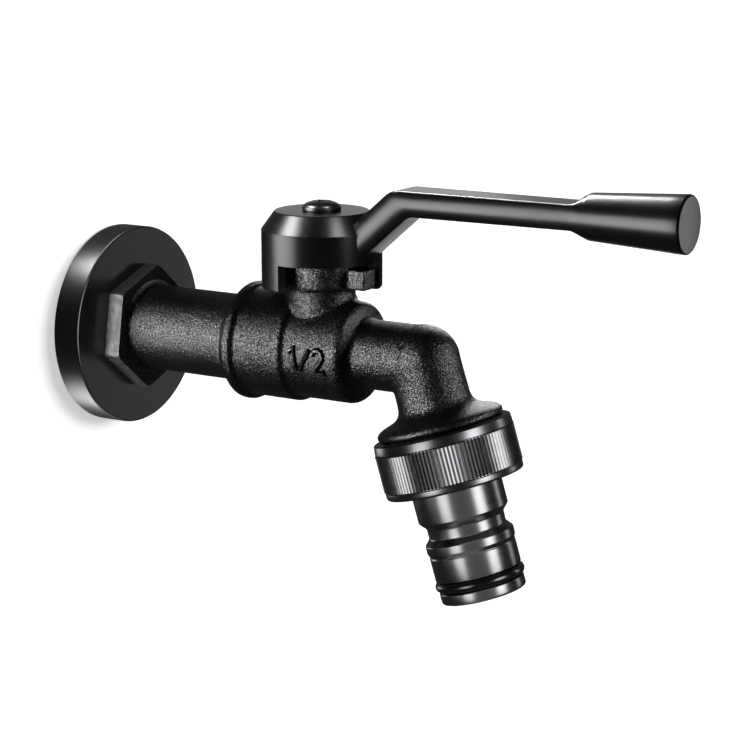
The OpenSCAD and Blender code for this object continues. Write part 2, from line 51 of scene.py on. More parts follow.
def roundedLoop(points, steps=5):  # (r, z) or (r, z, radius) corners, as a closed loop
    loop = []
    count = len(points)
    for i, corner in enumerate(points):
        b = np.array(corner[:2], float)
        if len(corner) < 3:
            loop.append(b)
            continue
        a = np.array(points[i - 1][:2], float)
        c = np.array(points[(i + 1) % count][:2], float)
        u = (a - b) / np.linalg.norm(a - b)
        v = (c - b) / np.linalg.norm(c - b)
        half = math.acos(np.clip(u @ v, -1, 1)) / 2
        middle = b + (u + v) / np.linalg.norm(u + v) * corner[2] / math.sin(half)
        start = b + u * corner[2] / math.tan(half) - middle
        end = b + v * corner[2] / math.tan(half) - middle
        turn = math.atan2(start[0] * end[1] - start[1] * end[0], start @ end)
        for k in range(steps + 1):
            t = turn * k / steps
            loop.append(middle + [start[0] * math.cos(t) - start[1] * math.sin(t),
                                  start[0] * math.sin(t) + start[1] * math.cos(t)])
    return np.array(loop)


def placed(name, data):  # a new object in the scene
    thing = bpy.data.objects.new(name, data)
    bpy.context.scene.collection.objects.link(thing)
    return thing


def dressPiece(name, mesh, sharp=32, weld=1e-7):  # closes, turns faces outwards, marks the crisp edges
    bm = bmesh.new()
    bm.from_mesh(mesh)
    bmesh.ops.remove_doubles(bm, verts=bm.verts, dist=weld)
    bmesh.ops.recalc_face_normals(bm, faces=bm.faces)
    bm.to_mesh(mesh)
    bm.free()
    mesh.shade_smooth()
    mesh.set_sharp_from_angle(angle=math.radians(sharp))
    return placed(name, mesh)


def redressed(piece, sharp):  # the same mesh, dressed again on a new piece
    name, mesh = piece.name, piece.data.copy()
    bpy.data.objects.remove(piece, do_unlink=True)
    return dressPiece(name, mesh, sharp)


def makePiece(name, verts, faces, place=None, sharp=32):  # verts in mm
    mesh = bpy.data.meshes.new(name)
    mesh.from_pydata((np.asarray(verts, float) * mm).tolist(), [], faces)
    if place is not None:
        mesh.transform(place)
    return dressPiece(name, mesh, sharp)


def gridFaces(rows, columns, closed=True):  # quads between rows of points, each row a loop
    i, j = np.meshgrid(np.arange(rows if closed else rows - 1), np.arange(columns), indexing="ij")
    row, nextRow, turn = i * columns, (i + 1) % rows * columns, (j + 1) % columns
    faces = np.stack([row + j, row + turn, nextRow + turn, nextRow + j], -1).reshape(-1, 4).tolist()
    if not closed:  # end caps
        faces += [list(range(columns)), list(range((rows - 1) * columns, rows * columns))]
    return faces


def turnedPiece(name, points, place, count=192, steps=5, sharp=32):
    loop = roundedLoop(points, steps)
    angles = np.linspace(0, 2 * math.pi, count, endpoint=False)
    verts = np.zeros((count, len(loop), 3))
    verts[:, :, 0] = np.cos(angles)[:, None] * loop[:, 0]
    verts[:, :, 1] = np.sin(angles)[:, None] * loop[:, 0]
    verts[:, :, 2] = loop[:, 1]
    return makePiece(name, verts.reshape(-1, 3), gridFaces(count, len(loop)), place, sharp)


def sleevePiece(name, heights, radius, bore, place, count=192, sharp=28):  # radius(angles, z), round bore
    angles = np.linspace(0, 2 * math.pi, count, endpoint=False)
    rounds = [(radius(angles, z), z) for z in heights] + [(bore, heights[-1]), (bore, heights[0])]
    rows = [np.stack([np.cos(angles) * r, np.sin(angles) * r, np.full(count, z)], -1) for r, z in rounds]
    return makePiece(name, np.concatenate(rows), gridFaces(len(rows), count), place, sharp)


def boxPiece(name, low, high, place):  # between two rectangles: half length, half width, z
    corners = ((-1, -1), (1, -1), (1, 1), (-1, 1))
    verts = [(x * long, y * wide, z) for long, wide, z in (low, high) for x, y in corners]
    return makePiece(name, verts, gridFaces(2, len(corners), closed=False), place)


def settled(piece, *modifiers):  # runs modifiers and keeps the plain mesh
    for kind, values in modifiers:
        modifier = piece.modifiers.new(kind.lower(), kind)
        for key, value in values.items():
            setattr(modifier, key, value)
    bpy.context.view_layer.update()
    graph = bpy.context.evaluated_depsgraph_get()
    mesh = bpy.data.meshes.new_from_object(piece.evaluated_get(graph))
    piece.modifiers.clear()
    old = piece.data
    piece.data = mesh
    bpy.data.meshes.remove(old)


def cut(piece, *tools):
    for tool in tools:
        settled(piece, ("BOOLEAN", dict(object=tool, operation="DIFFERENCE", solver="EXACT")))
        bpy.data.objects.remove(tool, do_unlink=True)


def twoFinishes(piece, plain, other, chosen):  # faces that chosen() picks take the other finish
    for finish in (plain, other):
        piece.data.materials.append(finish)
    for face in piece.data.polygons:
        face.material_index = int(chosen(face))
    return piece


def fitPiece(piece, body, slotName, finish, *replaced):  # replaced: the CAD nodes it stands for
    if finish is not None:
        piece.data.materials.clear()
        piece.data.materials.append(finish)
    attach(piece, body)
    if replaced:
        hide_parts(*replaced)


# shared shader effects

def newGroup(name, sizeLabel, *outputs):  # takes a vector and one size, gives floats
    group = bpy.data.node_groups.new(name, "ShaderNodeTree")
    group.interface.new_socket("Vector", in_out="INPUT", socket_type="NodeSocketVector")
    group.interface.new_socket(sizeLabel, in_out="INPUT", socket_type="NodeSocketFloat")
    for label in outputs:
        group.interface.new_socket(label, in_out="OUTPUT", socket_type="NodeSocketFloat")
    source, sink = group.nodes.new("NodeGroupInput"), group.nodes.new("NodeGroupOutput")
    return group, source.outputs["Vector"], source.outputs[sizeLabel], sink


def setSocket(tree, socket, value):  # a plain value, or a link from another socket
    if isinstance(value, bpy.types.NodeSocket):
        tree.links.new(value, socket)
    else:
        socket.default_value = value


def feed(tree, node, **values):  # sockets by their names
    for key, value in values.items():
        setSocket(tree, node.inputs[key.replace("_", " ")], value)


def addNode(tree, kind, settings=None, **values):
    node = tree.nodes.new(kind)
    for key, value in (settings or {}).items():
        setattr(node, key, value)
    feed(tree, node, **values)
    return node


def joined(tree, kind, *values, **settings):  # sockets in their order
    node = addNode(tree, kind, settings)
    for socket, value in zip(node.inputs, values):
        setSocket(tree, socket, value)
    return node.outputs[0]


def math2(tree, operation, a, b):
    return joined(tree, "ShaderNodeMath", a, b, operation=operation)


def noiseFrom(tree, vector, size, factor, detail, rough):
    scale = math2(tree, "MULTIPLY", size, factor)
    noise = addNode(tree, "ShaderNodeTexNoise", Vector=vector, Scale=scale, Detail=detail, Roughness=rough)
    return noise.outputs[0]


def ramp(tree, value, low, high, outLow=0.0, outHigh=1.0):
    node = addNode(tree, "ShaderNodeMapRange", Value=value, From_Min=low, From_Max=high,
                   To_Min=outLow, To_Max=outHigh)
    return node.outputs[0]


grainLook = dict(  # noises: scale, detail, roughness
    fine=(1.0, 2.0, 0.65), fineShare=0.8, coarse=(0.42, 2.0, 0.5), coarseShare=0.35,
    glint=(1.15, 1.0, 0.5), glintRange=(0.40, 0.62), fleck=(1.3, 1.0, 0.5), fleckRange=(0.6, 0.74),
    cloud=(0.05, 3.0, 0.6), cloudRange=(0.3, 0.7))


def sandGrainGroup(look):  # blasted casting: fine pits, sparse bright flecks, slow cloudiness
    group, vector, grains, sink = newGroup("sandGrain", "Grains", "Height", "Glint", "Fleck", "Cloud")
    noises = {key: noiseFrom(group, vector, grains, *look[key])
              for key in ("fine", "coarse", "glint", "fleck", "cloud")}
    fine, coarse = (math2(group, "MULTIPLY", noises[key], look[key + "Share"]) for key in ("fine", "coarse"))
    glint, fleck, cloud = (ramp(group, noises[key], *look[key + "Range"])
                           for key in ("glint", "fleck", "cloud"))
    feed(group, sink, Height=math2(group, "ADD", fine, coarse), Glint=glint, Fleck=fleck, Cloud=cloud)
    return group


handlingLook = dict(smudge=(1.0, 4.0, 0.62), smudgeRange=(0.35, 0.7), dust=(55.0, 1.0, 0.5),
                    dustRange=(0.72, 0.8), peel=(9.0, 1.0, 0.4))


def handlingGroup(look):  # faint smudges and dust on the smooth coat
    group, vector, size, sink = newGroup("handling", "Size", "Smudge", "Dust", "Peel")
    smudge, dust = (ramp(group, noiseFrom(group, vector, size, *look[key]), *look[key + "Range"])
                    for key in ("smudge", "dust"))
    feed(group, sink, Smudge=smudge, Dust=dust, Peel=noiseFrom(group, vector, size, *look["peel"]))
    return group


latheLook = dict(fine=(1.0, 2.0, 0.7), slow=(0.12, 1.0, 0.5), slowRange=(0.35, 0.65))


def latheGroup(look):  # fine rings that a lathe leaves, along local z of the given vector
    group, vector, pitch, sink = newGroup("latheRings", "Pitch", "Height", "Streak")
    parts = addNode(group, "ShaderNodeSeparateXYZ", Vector=vector)
    along = math2(group, "DIVIDE", parts.outputs["Z"], pitch)
    fine, slow = (addNode(group, "ShaderNodeTexNoise", dict(noise_dimensions="1D"), W=along, Scale=scale,
                          Detail=detail, Roughness=rough).outputs[0]
                  for scale, detail, rough in (look["fine"], look["slow"]))
    feed(group, sink, Height=fine, Streak=ramp(group, slow, *look["slowRange"]))
    return group


sandGrain = sandGrainGroup(grainLook)
handling = handlingGroup(handlingLook)
latheRings = latheGroup(latheLook)


def startFinish(name, **plain):  # plain numbers go straight onto the shader
    finish = bpy.data.materials.new(name)
    finish.use_nodes = True
    tree = finish.node_tree
    shader = tree.nodes["Principled BSDF"]
    feed(tree, shader, **plain)
    return finish, tree, shader, addNode(tree, "ShaderNodeTexCoord").outputs["Object"]


def useGroup(tree, group, vector, **values):
    return addNode(tree, "ShaderNodeGroup", dict(node_tree=group), Vector=vector, **values).outputs


def tint(tree, mask, dark, light):  # each a colour or a socket
    node = addNode(tree, "ShaderNodeMix", dict(data_type="RGBA"))
    colours = [(*value, 1) if isinstance(value, tuple) else value for value in (dark, light)]
    for socket, value in zip((node.inputs[0], *node.inputs[6:8]), (mask, *colours)):  # factor, colour pair
        setSocket(tree, socket, value)
    return node.outputs[2]


def shade(tree, shader, look, colourMask, roughMask):  # the look's colours and roughness
    feed(tree, shader, Base_Color=tint(tree, colourMask, look["dark"], look["light"]),
         Roughness=ramp(tree, roughMask, 0, 1, *look["rough"]))


def bump(tree, shader, look, height):
    node = addNode(tree, "ShaderNodeBump", Height=height, Strength=look["strength"], Distance=look["depth"])
    feed(tree, shader, Normal=node.outputs[0])


castLook = dict(grains=2500.0, dark=(0.001, 0.001, 0.001), light=(0.012, 0.012, 0.0125), rough=(0.28, 0.34),
                depth=0.00030, strength=0.90, level=(0.22, 1.25))


def castFinish(name, look):
    finish, tree, shader, place = startFinish(name)
    grain = useGroup(tree, sandGrain, place, Grains=look["grains"])
    feed(tree, shader, Specular_IOR_Level=ramp(tree, grain["Glint"], 0, 1, *look["level"]))
    shade(tree, shader, look, grain["Fleck"], grain["Cloud"])
    bump(tree, shader, look, grain["Height"])
    return finish


coatLook = dict(size=45.0, dark=(0.0025, 0.0025, 0.0027), light=(0.0045, 0.0045, 0.0047), rough=(0.30, 0.36),
                dust=(0.09, 0.09, 0.09), dustShare=0.25, strength=0.04, depth=0.00006, level=0.6)


def coatFinish(name, look):  # smooth black coat
    finish, tree, shader, place = startFinish(name, Specular_IOR_Level=look["level"])
    marks = useGroup(tree, handling, place, Size=look["size"])
    colour = tint(tree, marks["Smudge"], look["dark"], look["light"])
    dusty = tint(tree, math2(tree, "MULTIPLY", marks["Dust"], look["dustShare"]), colour, look["dust"])
    feed(tree, shader, Base_Color=dusty, Roughness=ramp(tree, marks["Smudge"], 0, 1, *look["rough"]))
    bump(tree, shader, look, marks["Peel"])
    return finish


def turnedVector(tree, place, axis):  # turns Object coordinates so that local z follows the lathe axis
    back = axis.inverted()
    mapping = addNode(tree, "ShaderNodeMapping", dict(vector_type="POINT"), Vector=place,
                      Rotation=back.to_euler(), Location=back.to_translation())
    return mapping.outputs[0]


turnedLook = dict(metallic=1.0, pitch=0.00022, strength=0.25, depth=0.00001, level=0.5, size=90.0)


def turnedFinish(name, axis, look):  # shows the lathe's rings
    finish, tree, shader, place = startFinish(
        name, Metallic=look["metallic"], Specular_IOR_Level=look["level"])
    rings = useGroup(tree, latheRings, turnedVector(tree, place, axis), Pitch=look["pitch"])
    marks = useGroup(tree, handling, place, Size=look["size"])
    streaks = math2(tree, "MULTIPLY", rings["Streak"], marks["Smudge"])
    shade(tree, shader, look, streaks, rings["Streak"])
    bump(tree, shader, look, rings["Height"])
    return finish


metalLook = dict(size=120.0, strength=0.03, depth=0.00004)


def metalFinish(name, look):  # plain dark metal
    finish, tree, shader, place = startFinish(name, Metallic=1.0)
    marks = useGroup(tree, handling, place, Size=look["size"])
    shade(tree, shader, look, marks["Smudge"], marks["Smudge"])
    bump(tree, shader, look, marks["Peel"])
    return finish


softLook = dict(grains=900.0, strength=0.18, depth=0.00005, level=0.5)


def softFinish(name, look):  # rubber and seat plastic
    finish, tree, shader, place = startFinish(name, Specular_IOR_Level=look["level"])
    grain = useGroup(tree, sandGrain, place, Grains=look["grains"])
    shade(tree, shader, look, grain["Cloud"], grain["Cloud"])
    bump(tree, shader, look, grain["Height"])
    return finish


castBlack = castFinish("castBlack", castLook)
figureBlack = castFinish("figureBlack", dict(castLook, strength=0.5))
# painted shade: the casting finish with its reflection turned far down, for the figures' flanks and skirt
figureShade = castFinish("figureShade", dict(castLook, level=(0.02, 0.15)))
tailBlack = castFinish("tailBlack", dict(castLook, grains=2900.0, level=(0.35, 1.75)))
flangeBlack = coatFinish("flangeBlack", coatLook)
faceBlack = coatFinish("faceBlack", dict(coatLook, rough=(0.19, 0.24), strength=0.02))
leverBlack = coatFinish("leverBlack", dict(coatLook, size=55.0, rough=(0.27, 0.31), strength=0.01))
spigotBlack = turnedFinish("spigotBlack", inletAxis, dict(
    turnedLook, dark=(0.012, 0.012, 0.013), light=(0.022, 0.022, 0.023), rough=(0.30, 0.38), metallic=0.2))
hexBlack = metalFinish("hexBlack", dict(
    metalLook, dark=(0.080, 0.080, 0.082), light=(0.150, 0.150, 0.154), rough=(0.52, 0.60), size=700.0))
screwBlack = metalFinish("screwBlack", dict(
    metalLook, dark=(0.150, 0.150, 0.154), light=(0.190, 0.190, 0.196), rough=(0.28, 0.35), size=400.0))
nutBlack = metalFinish("nutBlack", dict(
    metalLook, dark=(0.165, 0.165, 0.170), light=(0.195, 0.195, 0.201), rough=(0.25, 0.29)))
knurlBlack = metalFinish("knurlBlack", dict(
    metalLook, dark=(0.185, 0.185, 0.190), light=(0.235, 0.235, 0.241), rough=(0.22, 0.27)))
darkChrome = turnedFinish("darkChrome", outletAxis, dict(
    turnedLook, dark=(0.185, 0.185, 0.190), light=(0.205, 0.205, 0.211), rough=(0.24, 0.26),
    pitch=0.00012, depth=0.000003))
ballChrome = turnedFinish("ballChrome", inletAxis, dict(
    turnedLook, dark=(0.62, 0.63, 0.64), light=(0.72, 0.73, 0.74), rough=(0.07, 0.12)))
stemBrass = turnedFinish("stemBrass", stemAxis, dict(
    turnedLook, dark=(0.56, 0.40, 0.17), light=(0.66, 0.49, 0.24), rough=(0.24, 0.34)))
seatPlastic = softFinish("seatPlastic", dict(
    softLook, dark=(0.78, 0.77, 0.72), light=(0.84, 0.83, 0.79), rough=(0.38, 0.46)))
ringRubber = softFinish("ringRubber", dict(
    softLook, dark=(0.004, 0.004, 0.004), light=(0.008, 0.008, 0.008), rough=(0.20, 0.27),
    grains=1500.0, level=1.0))
print("finishes made,", len(bpy.data.materials))


# wall flange, with a polished front
flangeSizes = dict(radius=24.0, depth=7.3, wall=1.8, hole=10.55, edge=0.55, backEdge=0.5, hollowEdge=0.7,
                   frontFrom=-0.95)


def wallFlange(s):
    inner, hollow = s["depth"] - s["wall"], s["radius"] - s["wall"]
    ring = turnedPiece("flangeRing", [
        (hollow, 0.0), (s["radius"], 0.0, s["backEdge"]), (s["radius"], s["depth"], s["edge"]),
        (s["hole"], s["depth"]), (s["hole"], inner), (hollow, inner, s["hollowEdge"])],
        inletAxis, count=256, steps=8, sharp=40)
    return twoFinishes(ring, flangeBlack, faceBlack, lambda face: face.normal.y < s["frontFrom"])


fitPiece(wallFlange(flangeSizes), "tap", "gloss_black", None, "wall_flange")

# inlet tailpiece: pipe thread, hexagon, cast tube, machined spigot
tailSizes = dict(
    threadR=10.45, threadRoot=9.35, pitch=1.814, threadStart=-9.6, threadEnd=1.6, lead=1.1, runOut=1.2,
    threadRows=14, shankR=10.15, hexFlats=26.0, hexTurn=10.0, hexFrom=7.3, hexTo=11.3, hexBevel=0.35,
    hexCorner=0.12, hexRows=4, hexBore=9.95, tubeHidden=0.3, tubeR=10.2, tubeEnd=38.8, fillet=1.1,
    filletRun=1.0, tubeRows=(0.15, 0.3, 0.5, 0.75, 1.0, 6.0, 12.0, 18.0), spigotR=9.9, tailEnd=51.5,
    bevel=0.6, bore=6.5, boreSlack=0.2, ringAt=47.5, ringHalf=1.05, ringR=8.1, step=0.002, slack=0.01)
threadShape = dict(steep=1.5, floor=0.25)


def threadRidge(turns):  # 0 in the root, 1 on the flat crest
    wave = 1 - np.abs(2 * (turns % 1) - 1)
    return np.clip(wave * threadShape["steep"] - threadShape["floor"], 0, 1)


def tailPiece(s):
    tubeFrom = s["hexTo"] - s["tubeHidden"]

    def radius(angles, z):
        if z <= s["threadEnd"]:  # helix
            ridge = threadRidge((z - s["threadStart"]) / s["pitch"] - angles / (2 * math.pi))
            lead = np.clip((z - s["threadStart"]) / s["lead"], 0, 1)
            run = np.clip((s["threadEnd"] - z) / s["runOut"], 0, 1)
            high = (s["threadR"] - s["threadRoot"]) * lead
            return s["threadRoot"] + high * (1 - (1 - ridge) * run)
        if z <= tubeFrom:
            plain = s["shankR"]
        elif z <= s["tubeEnd"]:
            plain = s["tubeR"] + s["fillet"] * max(0.0, 1 - (z - s["hexTo"]) / s["filletRun"]) ** 2
        elif abs(z - s["ringAt"]) <= s["ringHalf"]:
            plain = s["ringR"]
        else:
            plain = s["spigotR"] - max(0.0, z - s["tailEnd"] + s["bevel"])
        return np.full(angles.shape, plain)

    def machined(face):  # thread, spigot and bore
        reach, out = -face.center.y / mm, math.hypot(face.center.x, face.center.z) / mm
        return reach < s["hexFrom"] or reach > s["tubeEnd"] - s["slack"] or out < s["bore"] + s["boreSlack"]

    e, ringFrom, ringTo = s["step"], s["ringAt"] - s["ringHalf"], s["ringAt"] + s["ringHalf"]
    heights = list(np.arange(s["threadStart"], s["threadEnd"], s["pitch"] / s["threadRows"]))
    heights += [s["threadEnd"], s["threadEnd"] + e, tubeFrom, tubeFrom + e, s["hexTo"]]
    heights += [s["hexTo"] + row for row in s["tubeRows"]]
    heights += [s["tubeEnd"], s["tubeEnd"] + e, ringFrom - e, ringFrom, ringTo, ringTo + e]
    heights += [s["tailEnd"] - s["bevel"], s["tailEnd"]]
    tail = sleevePiece("inletTail", heights, radius, s["bore"], inletAxis)
    return twoFinishes(tail, tailBlack, spigotBlack, machined)


def hexCollar(s):
    bevelFrom = s["hexTo"] - s["hexBevel"]

    def radius(angles, z):
        side = s["hexFlats"] / 2
        off = (angles + math.radians(s["hexTurn"]) + math.pi / 6) % (math.pi / 3) - math.pi / 6
        cone = side / math.cos(math.pi / 6) - s["hexCorner"] - max(0.0, z - bevelFrom)
        return np.minimum(side / np.cos(off), cone)

    heights = [s["hexFrom"]] + list(np.linspace(bevelFrom, s["hexTo"], s["hexRows"]))
    return sleevePiece("hexCollar", heights, radius, s["hexBore"], inletAxis)


fitPiece(tailPiece(tailSizes), "tap", "cast_black", None, "inlet_tailpiece")
fitPiece(hexCollar(tailSizes), "tap", "cast_black", hexBlack)
print("flange and tailpiece done")

# valve body: the casting is one skin with soft edges, then its outlet thread and size figures
bodySizes = dict(
    voxel=0.00038, soften=4, softness=0.5, threadFrom=15.9, threadTo=22.3, threadRoot=12.0, threadR=13.1,
    pitch=1.814, threadBore=8.4, threadSunk=0.1, threadFade=0.8, threadRows=60, frontR=11.8, markAt=62.9,
    markHalf=5.9, markHigh=5.0, neckR=7.7, neckNear=0.6, neckFrom=12.2, neckTo=14.75, neckBack=0.6,
    neckWay=(-0.515, 0.857))
figureSizes = dict(
    frontR=11.8, fromWall=58.2, low=-14.5, lean=0.09, leanFrom=5.5, scale=(0.97, 0.92), stroke=0.80,
    # paintedShadeBelow: faces under this share of the ridge height take the painted shade
    bevelSteps=6, across=(0.34, 0.58, 0.80), heights=(0.68, 0.38, 0.04), paintedShadeBelow=0.8,
    strokes=(  # 1, / and 2 in mm, along the barrel and round it
        [(0.1, 4.5), (1.5, 5.5), (1.55, 0.0)],
        [(2.5, 0.1), (5.9, 5.4)],
        [(6.5, 4.1), (6.75, 4.85), (7.4, 5.38), (8.2, 5.45), (8.95, 5.1), (9.3, 4.35), (9.15, 3.5),
         (8.5, 2.5), (7.45, 1.2), (6.6, 0.05), (9.5, 0.05)]))


def bodyCasting(s):
    casting = dressPiece("bodyCasting", cadNodes["valve_body"].data.copy())
    casting.data.materials.clear()
    settled(casting, ("REMESH", dict(mode="VOXEL", voxel_size=s["voxel"])),
            ("SMOOTH", dict(factor=s["softness"], iterations=s["soften"])))
    count = len(casting.data.vertices)
    spots = np.zeros(count * 3)
    casting.data.vertices.foreach_get("co", spots)
    spots = spots.reshape(-1, 3)
    x, y, z = spots.T
    side = spots[:, :2] + [0, tap["stemReach"] * mm]
    reach = np.hypot(side[:, 0], side[:, 1])
    inNeck = ((z > s["neckFrom"] * mm) & (z < s["neckTo"] * mm)
              & (abs(reach - s["neckR"] * mm) < s["neckNear"] * mm))
    behind = np.clip(side[inNeck] @ s["neckWay"] / reach[inNeck], 0, 1)
    outward = side[inNeck] / reach[inNeck, None]
    spots[inNeck, :2] += outward * (s["neckBack"] * mm * behind)[:, None]  # fuller towards the wall
    out = np.hypot(x, z)
    marked = ((abs(y + s["markAt"] * mm) < s["markHalf"] * mm) & (abs(z) < s["markHigh"] * mm)
              & (x < 0) & (out > s["frontR"] * mm))
    spots[np.ix_(marked, [0, 2])] *= (s["frontR"] * mm / out[marked])[:, None]  # room for the crisp figures
    local = np.c_[spots, np.ones(count)] @ np.array(outletAxis.inverted()).T
    out = np.hypot(local[:, 0], local[:, 1])
    inThread = (local[:, 2] > s["threadFrom"] * mm) & (out > s["threadRoot"] * mm)
    local[inThread, :2] *= (s["threadRoot"] * mm / out[inThread])[:, None]  # root of the outlet thread
    casting.data.vertices.foreach_set("co", (local @ np.array(outletAxis).T)[:, :3].ravel())
    casting.data.shade_smooth()
    return casting


def outletThread(s):
    root = s["threadRoot"] - s["threadSunk"]

    def radius(angles, z):
        ridge = threadRidge((z - s["threadFrom"]) / s["pitch"] + angles / (2 * math.pi))
        ends = [np.clip(run / s["threadFade"], 0, 1) for run in (s["threadTo"] - z, z - s["threadFrom"])]
        return root + (s["threadR"] - root) * ridge * ends[0] * ends[1]

    heights = np.linspace(s["threadFrom"], s["threadTo"], s["threadRows"])
    return sleevePiece("outletThread", list(heights), radius, s["threadBore"], outletAxis, count=160)


def sizeFigures(s):  # raised plain figures on the near side of the barrel, with painted shade on their flanks and on a thin skirt round them
    curve = bpy.data.curves.new("sizeFigures", "CURVE")
    curve.dimensions, curve.bevel_depth, curve.bevel_resolution = "3D", s["stroke"] * mm, s["bevelSteps"]
    curve.use_fill_caps = True
    wide, tall = s["scale"]
    for points in s["strokes"]:
        line = curve.splines.new("POLY")
        line.points.add(len(points) - 1)
        for spot, (x, y) in zip(line.points, points):
            spot.co = ((x + s["lean"] * (s["leanFrom"] - y)) * wide * mm, y * tall * mm, 0, 1)
    words = placed("sizeFigures", curve)
    bpy.context.view_layer.update()
    mesh = bpy.data.meshes.new_from_object(words.evaluated_get(bpy.context.evaluated_depsgraph_get()))
    bpy.data.objects.remove(words, do_unlink=True)
    r, half = s["frontR"] * mm, s["stroke"] * mm
    for v in mesh.vertices:  # wrapped round the barrel, a ridge on a thin skirt; the skirt is a dark sheet of painted shade round the base
        turn = math.radians(s["low"]) + v.co.y / r
        off = math.sqrt(max(half ** 2 - v.co.z ** 2, 0)) / mm
        high = r + (np.interp(off, s["across"], s["heights"]) * mm if v.co.z > 0 else v.co.z)
        v.co = Vector((-high * math.cos(turn), -s["fromWall"] * mm - v.co.x, high * math.sin(turn)))
    paintedShadeTo = s["heights"][0] * s["paintedShadeBelow"] * mm  # painted shade: dark flanks and skirt stand in for the shadow round the figures
    return twoFinishes(dressPiece("sizeFigures", mesh, sharp=50), figureBlack, figureShade,
                       lambda face: math.hypot(face.center.x, face.center.z) - r < paintedShadeTo)


fitPiece(bodyCasting(bodySizes), "tap", "cast_black", castBlack, "valve_body")
fitPiece(outletThread(bodySizes), "tap", "cast_black", spigotBlack)
fitPiece(sizeFigures(figureSizes), "tap", "cast_black", None)
print("valve body done")

# lever: hub with its cut-out skirt, crank and arm in one sweep, round grip
leverSizes = dict(
    hubR=13.85, skirtZ=14.5, cutZ=20.9, skirtR=11.25, floorZ=22.9, bevelZ=27.9, topZ=32.1, flatR=10.8,
    skirtEdge=0.3, rimEdge=0.6, bevelEdge=0.4, topEdge=0.5, floorEdge=0.5, holeR=2.25, squareW=5.7,
    squareH=5.5, squareSunk=0.5, cutFrom=-13.2, cutTo=103.2, cutR=(0.7, 1.3), cutSunk=1.0, rootU=66.0,
    rootLow=(68.6, 23.4), rootHigh=(66.4, 26.1), footU=72.85, footZ=22.3, slope=41.0, thick=7.1,
    lowZ=32.8, highZ=38.6, bendLow=4.5, bendHigh=5.5, rootW=5.6, endW=4.9, endLow=32.85, endHigh=38.55,
    flareAt=123.8, gripAt=127.6, gripR=5.15, gripEnd=149.4, gripEndR=6.34, gripEdge=0.5, gripEase=0.03,
    edgeFrom=0.3, swellGain=1.1, crankRows=8, bendRows=13, armRows=15, flareRows=13, gripRows=9, edgeRows=5)
armSection = dict(full=1.9, topEdge=0.8, lowEdge=1.0, turns=(9, 18, 27, 36, 45, 56, 68, 80, 90))


def sweepRing(low, high, halfWidth, roundness, look=armSection):  # section between two points at x = 0
    low, high = np.array(low, float), np.array(high, float)
    middle, half = (low + high) / 2, np.linalg.norm(high - low) / 2
    way = (high - low) / np.linalg.norm(high - low)
    topEdge, lowEdge, side = look["topEdge"], look["lowEdge"], look["full"] * half  # side: its swollen radius
    lean = math.asin((2 * half - topEdge - lowEdge) / (2 * side - topEdge - lowEdge))
    rise = half - topEdge - (side - topEdge) * math.sin(lean)
    ring = []
    for t in np.radians([-turn for turn in look["turns"][::-1]] + [0, *look["turns"]]):
        turn = np.clip(t, -lean, lean)
        edge = side if abs(t) <= lean else (topEdge if t > 0 else lowEdge)
        flat = np.array([halfWidth - side + (side - edge) * math.cos(turn) + edge * math.cos(t),
                         rise + (side - edge) * math.sin(turn) + edge * math.sin(t)])
        oval = np.array([halfWidth * math.cos(t), half * math.sin(t)])
        ring.append(flat * (1 - roundness) + oval * roundness)
    ring = np.array(ring)
    ring = np.concatenate([ring, ring[::-1] * [-1, 1]])
    place = middle + ring[:, 1:2] * way
    return np.stack([ring[:, 0], -place[:, 0], place[:, 1]], -1)  # x, y, z in mm


